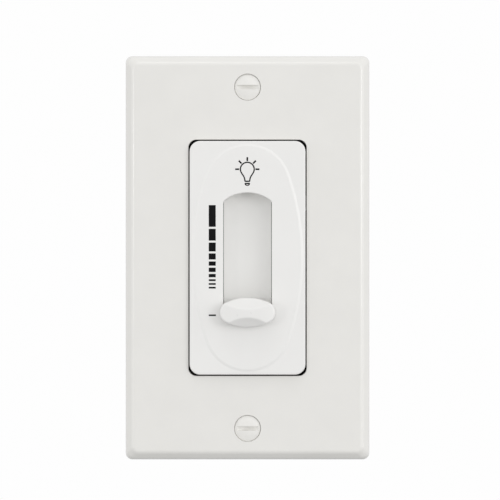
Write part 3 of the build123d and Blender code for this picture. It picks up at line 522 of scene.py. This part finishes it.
def stroke(bm, points, width):
    """A drawn line of even width through the points."""
    left, right = [], []
    for i, point in enumerate(points):
        before = points[max(i - 1, 0)]
        after = points[min(i + 1, len(points) - 1)]
        along = Vector((after[0] - before[0], after[1] - before[1])).normalized()
        across = Vector((-along.y, along.x)) * width / 2
        left.append((point[0] + across.x, point[1] + across.y))
        right.append((point[0] - across.x, point[1] - across.y))
    prism(bm, left + right[::-1])


def bezier(p0, p1, p2, p3, steps=10):
    """Points along a cubic curve, without its first point."""
    out = []
    for i in range(1, steps + 1):
        t = i / steps
        a, b, c, d = (1 - t) ** 3, 3 * t * (1 - t) ** 2, 3 * t * t * (1 - t), t**3
        out.append(tuple(a * q + b * r + c * s + d * u for q, r, s, u in zip(p0, p1, p2, p3)))
    return out


def level_bars():
    """The ten bars beside the slot, from the tallest down to the thinnest."""
    bm = bmesh.new()
    top = BAR_TOP
    for height in BAR_HEIGHTS:
        bar(bm, BAR_LEFT, BAR_RIGHT, top - height, top, corner=min(BAR_CORNER, height / 5))
        top -= height + BAR_GAP
    return mesh_of("level_bars", bm)


def off_mark():
    """The dash beside the knob's off position."""
    bm = bmesh.new()
    bar(bm, BAR_LEFT, BAR_RIGHT + OFF_EXTRA, OFF_Z - OFF_HEIGHT / 2, OFF_Z + OFF_HEIGHT / 2)
    return mesh_of("off_mark", bm)


def lamp_side():
    """The right half of the bulb's outline, from its top round to its neck, about its own centre."""
    leave = math.radians(BULB_LEAVE)
    shoulder = (LAMP_R * math.cos(leave), LAMP_R * math.sin(leave))
    heading = (math.sin(leave), -math.cos(leave))
    pull = (shoulder[0] + BULB_PULL * heading[0], shoulder[1] + BULB_PULL * heading[1])
    points = []
    round_steps = 40
    for step in range(round_steps + 1):
        angle = math.pi / 2 + (leave - math.pi / 2) * step / round_steps
        points.append((LAMP_R * math.cos(angle), LAMP_R * math.sin(angle)))
    points += bezier(shoulder, pull, BULB_WAIST, BULB_NECK)
    points += bezier(BULB_NECK, *BULB_FOOT, steps=4)
    return points


def lamp_sign():
    """A lamp bulb in outline with a screw cap and five rays."""
    bm = bmesh.new()
    right_side = lamp_side()
    left_side = [(-x, z) for x, z in right_side[:0:-1]]
    stroke(bm, [(x + LAMP_X, z + LAMP_Z) for x, z in left_side + right_side], LAMP_LINE)
    for half, low, high in CAP_BANDS:
        bar(bm, LAMP_X - half, LAMP_X + half, LAMP_Z + low, LAMP_Z + high)
    cup = [CAP_CUP[0]] + bezier(*CAP_CUP, steps=12)
    stroke(bm, [(x + LAMP_X, z + LAMP_Z) for x, z in cup], LAMP_FINE_LINE)
    for degrees in RAY_ANGLES:
        way = Vector((math.cos(math.radians(degrees)), math.sin(math.radians(degrees))))
        start = way * RAY_START + Vector((LAMP_X, LAMP_Z))
        end = way * (RAY_START + RAY_LENGTH) + Vector((LAMP_X, LAMP_Z))
        stroke(bm, [tuple(start), tuple(end)], RAY_LINE)
    return mesh_of("lamp_sign", bm)


# =============================== threaded screws ===============================

# All the screws with finished threads are 6-32. Lengths are in millimetres.
THREAD_R = 1.75
PITCH = 25.4 / 32
THREAD_DEPTH = 0.61 * PITCH
FLANK = 2.4  # the steepness of the thread's sides


def screw_mesh(name, head, neck_r, neck_end, start, end, slot):
    """A screw along +Y from its head: head is a list of (radius, y), crown first, in millimetres.

    The head and shank are turned, the thread is a true helical ridge that fades at its ends, and the
    drive slot is cut last.
    """
    sides = 48
    rings_per_pitch = 8
    rings = [(r, y, 0.0) for r, y in head]
    rings.append((neck_r, neck_end, 0.0))
    count = int((end - start) / PITCH * rings_per_pitch)
    for i in range(count + 1):
        rings.append((THREAD_R - THREAD_DEPTH, start + (end - start) * i / count, THREAD_DEPTH))
    bm = bmesh.new()
    loops = []
    for radius, y, ridge in rings:
        loop = []
        for k in range(sides):
            angle = 2 * math.pi * k / sides
            phase = (y / PITCH - k / sides) % 1.0
            height = max(0.0, 1 - abs(phase - 0.5) * FLANK)
            fade = max(0.0, min(1.0, (y - start) / PITCH, (end - y) / PITCH))
            r = radius + ridge * height * fade
            loop.append(bm.verts.new((r * math.cos(angle) * MM, y * MM, r * math.sin(angle) * MM)))
        loops.append(loop)
    for a, b in zip(loops, loops[1:]):
        for k in range(sides):
            n = (k + 1) % sides
            bm.faces.new((a[k], a[n], b[n], b[k]))
    bm.faces.new(loops[0])
    bm.faces.new(loops[-1])
    mesh = mesh_of(name, bm)
    smooth(mesh)
    return cut_slot(name, mesh, slot)


def box_mesh(name, low, high):
    """A block between two corners in millimetres."""
    bm = bmesh.new()
    bmesh.ops.create_cube(bm, size=1)
    for v in bm.verts:
        v.co = Vector([(a + b) / 2 + c * (b - a) for a, b, c in zip(low, high, v.co)]) * MM
    return mesh_of(name, bm)


def saw_mesh(name, width, half_length, y_ends, y_middle):
    """A slitting saw's reach: a slot along X whose floor is an arc, deepest in the middle."""
    front = -2.0
    half_steps = 10
    arc = []
    for step in range(2 * half_steps + 1):
        x = half_length * (step / half_steps - 1)
        arc.append((x, y_ends + (y_middle - y_ends) * (1 - (x / half_length) ** 2)))
    outline = [(-half_length, front)] + arc + [(half_length, front)]
    bm = bmesh.new()
    sides = []
    for z in (-width / 2, width / 2):
        sides.append([bm.verts.new((x * MM, y * MM, z * MM)) for x, y in outline])
        bm.faces.new(sides[-1])
    for i in range(len(outline)):
        j = (i + 1) % len(outline)
        bm.faces.new((sides[0][i], sides[0][j], sides[1][j], sides[1][i]))
    return mesh_of(name, bm)


def cut_slot(name, mesh, tool_mesh):
    """The mesh with a tool's shape cut away, for a screwdriver's blade."""
    whole = bpy.data.objects.new(name, mesh)
    tool = bpy.data.objects.new(name + "_tool", tool_mesh)
    for obj in (whole, tool):
        bpy.context.scene.collection.objects.link(obj)
    cut = whole.modifiers.new("slot", "BOOLEAN")
    cut.operation = "DIFFERENCE"
    cut.solver = "EXACT"
    cut.object = tool
    graph = bpy.context.evaluated_depsgraph_get()
    done = bpy.data.meshes.new_from_object(whole.evaluated_get(graph))
    bpy.data.objects.remove(whole)
    bpy.data.objects.remove(tool)
    smooth(done)
    return done


def round_head(radius, height, edge, steps=6):
    """A pan head's profile from its crown at y = -height to its rim at y = 0."""
    profile = [(radius * 0.5, -height), (radius - edge, -height)]
    for i in range(1, steps + 1):
        angle = math.pi / 2 * i / steps
        r = radius - edge + edge * math.sin(angle)
        profile.append((r, -height + edge - edge * math.cos(angle)))
    profile.append((radius, 0.0))
    return profile


def domed_head(radius, rise, land, cone, neck_r, steps=9):
    """An oval head: its dome from crown to rim at y = 0, a short land, then the cone to the neck."""
    ball = (radius**2 + rise**2) / (2 * rise)
    profile = []
    for i in range(1, steps + 1):
        r = radius * i / steps
        profile.append((r, -rise + ball - math.sqrt(ball**2 - r**2)))
    profile.append((radius, land))
    profile.append((neck_r, land + cone))
    return profile


def replace_screw(node, mesh, material, seat):
    """Puts a finished screw where the CAD node is: seat is the place of its head's rim."""
    mesh.transform(Matrix.Translation(seat))
    piece = place(node + "_finished", mesh, material, "base")
    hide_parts(node)


def plate_screws(materials):
    """Oval heads whose sawn slots stop short of the rim, as paint leaves them."""
    rise, land, cone = 0.62, 0.3, 2.3
    slot_width, slot_half, slot_depth = 1.2, 3.1, 1.35
    neck_r, neck_end, thread_start = 1.3, 2.8, 3.0
    for name in ("plate_screw_upper", "plate_screw_lower"):
        low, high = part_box(name)
        radius = (high.x - low.x) / 2 / MM
        z = (low.z + high.z) / 2
        rim_y = low.y + rise * MM
        end = (high.y - rim_y) / MM
        head = domed_head(radius, rise, land, cone, THREAD_R)
        slot = saw_mesh(name + "_saw", slot_width, slot_half, -rise / 10, slot_depth - rise)
        mesh = screw_mesh(name, head, neck_r, neck_end, thread_start, end, slot)
        replace_screw(name, mesh, materials["white_enamel"], Vector((0, rim_y, z)))


def device_screws(materials):
    """Pan heads slotted right across, for the screws that hold the strap to the box."""
    head_r, head_height, head_edge = 3.2, 1.9, 0.75
    neck_r, neck_end, thread_start = 1.35, 2.5, 2.6
    slot_half_width, slot_floor = 0.525, -0.9
    for name in ("device_screw_upper", "device_screw_lower"):
        low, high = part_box(name)
        z = (low.z + high.z) / 2
        seat_y = low.y + head_height * MM
        end = (high.y - seat_y) / MM
        head = round_head(head_r, head_height, head_edge) + [(neck_r, 0.0)]
        slot = box_mesh(name + "_blade", (-5, -3, -slot_half_width), (5, slot_floor, slot_half_width))
        mesh = screw_mesh(name, head, neck_r, neck_end, thread_start, end, slot)
        replace_screw(name, mesh, materials["zinc_steel"], Vector((0, seat_y, z)))


# =============================== choke winding ===============================

def choke_turns(materials):
    """Enamelled wire wound round the choke's core, most of the way round."""
    low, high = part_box("choke_core")
    middle = (low + high) / 2
    outer = (high.x - low.x) / 2
    inner = outer / 2
    wire = 0.35 * MM
    gap = 0.06 * MM
    half_width = (outer - inner) / 2 + wire + gap
    half_height = (high.y - low.y) / 2 + wire + gap
    squareness = 5
    turns, steps = 34, 28
    arc = math.radians(292)
    start = math.radians(34)
    curve = bpy.data.curves.new("choke_turns", "CURVE")
    curve.dimensions = "3D"
    curve.bevel_depth = wire
    curve.bevel_resolution = 3
    curve.use_fill_caps = True
    spline = curve.splines.new("POLY")
    points = []
    mid_radius = (outer + inner) / 2
    for i in range(turns * steps + 1):
        share = i / (turns * steps)
        angle = start + arc * share
        round_angle = 2 * math.pi * i / steps
        u, v = math.cos(round_angle), math.sin(round_angle)
        reach = (abs(u) ** squareness + abs(v) ** squareness) ** (-1 / squareness)
        radius = mid_radius + half_width * u * reach
        y = half_height * v * reach
        points.append((radius * math.cos(angle), y, radius * math.sin(angle)))
    spline.points.add(len(points) - 1)
    for point, co in zip(spline.points, points):
        point.co = (middle.x + co[0], middle.y + co[1], middle.z + co[2], 1)
    holder = bpy.data.objects.new("choke_turns_curve", curve)
    bpy.context.scene.collection.objects.link(holder)
    mesh = bpy.data.meshes.new_from_object(holder)
    bpy.data.objects.remove(holder)
    mesh.shade_smooth()
    piece = place("choke_turns", mesh, materials["copper_wire"], "base")
    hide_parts("choke_winding")


# =============================== stage and light ===============================

def make_stage():
    """A pale floor well below the plate, which the camera sees and which throws no light on it."""
    floor_material, nodes, links, shader = new_material("stage_floor")
    drift = noise(nodes, links, object_coordinates(nodes, links), FLOOR_DRIFT)
    links.new(ramp(nodes, links, drift, *FLOOR_TONES), shader.inputs["Base Color"])
    shader.inputs["Roughness"].default_value = FLOOR_ROUGHNESS
    bm = bmesh.new()
    bmesh.ops.create_circle(bm, cap_ends=True, segments=96, radius=FLOOR_RADIUS)
    floor = bpy.data.objects.new("stage_floor", mesh_of("stage_floor", bm))
    floor.location = (0, 0, CAD_LOW.z - FLOOR_DROP)
    floor.visible_diffuse = False
    floor.visible_glossy = False
    floor.data.materials.append(floor_material)
    bpy.context.scene.collection.objects.link(floor)


def area_light(name, place_at, power, size):
    """A square soft box aimed at the middle of the wall plate."""
    data = bpy.data.lights.new(name, "AREA")
    data.size = size
    data.energy = power
    lamp = bpy.data.objects.new(name, data)
    lamp.location = place_at
    lamp.rotation_euler = (-Vector(place_at)).to_track_quat("-Z", "Y").to_euler()
    bpy.context.scene.collection.objects.link(lamp)


def make_light():
    """Soft boxes round the front and a sky that is darker below, in front of a plain pale backdrop."""
    world = bpy.data.worlds.new("studio")
    bpy.context.scene.world = world
    world.use_nodes = True
    nodes, links = world.node_tree.nodes, world.node_tree.links
    direction = nodes.new("ShaderNodeTexCoord")
    split = nodes.new("ShaderNodeSeparateXYZ")
    links.new(direction.outputs["Generated"], split.inputs["Vector"])
    sky = nodes.new("ShaderNodeMapRange")
    sky.interpolation_type = "SMOOTHSTEP"
    sky.inputs["From Min"].default_value = SKY_RANGE[0]
    sky.inputs["From Max"].default_value = SKY_RANGE[1]
    sky.inputs["To Min"].default_value = SKY_BELOW
    sky.inputs["To Max"].default_value = SKY_ABOVE
    links.new(split.outputs["Z"], sky.inputs["Value"])
    links.new(sky.outputs["Result"], nodes["Background"].inputs["Strength"])
    backdrop = nodes.new("ShaderNodeBackground")
    backdrop.inputs["Strength"].default_value = 1.0
    path = nodes.new("ShaderNodeLightPath")
    mix = nodes.new("ShaderNodeMixShader")
    links.new(path.outputs["Is Camera Ray"], mix.inputs["Fac"])
    links.new(nodes["Background"].outputs["Background"], mix.inputs[1])
    links.new(backdrop.outputs["Background"], mix.inputs[2])
    backdrop.inputs["Color"].default_value = (BACKDROP, BACKDROP, BACKDROP, 1)
    nodes["Background"].inputs["Color"].default_value = (1, 1, 1, 1)
    links.new(mix.outputs["Shader"], nodes["World Output"].inputs["Surface"])
    for name, (place_at, power, size) in SOFT_BOXES.items():
        area_light(name, place_at, power, size)
    bpy.context.scene.view_settings.view_transform = "Standard"


def make_camera():
    """A long lens square on to the plate."""
    data = bpy.data.cameras.new("camera")
    data.sensor_width = SENSOR
    data.lens = SENSOR * CAMERA_DISTANCE / VIEW_WIDTH
    data.clip_start = CAMERA_NEAR
    camera = bpy.data.objects.new("camera", data)
    camera.location = (CAMERA_X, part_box("wall_plate")[0].y - CAMERA_DISTANCE, CAMERA_Z)
    camera.rotation_euler = (math.pi / 2, 0, 0)
    bpy.context.scene.collection.objects.link(camera)
    bpy.context.scene.camera = camera


materials = make_materials()
finish_nodes(materials)
for mark in (level_bars(), off_mark(), lamp_sign()):
    place(mark.name, mark, materials["printed_ink"], "base")
plate_screws(materials)
device_screws(materials)
choke_turns(materials)
make_stage()
make_light()
make_camera()
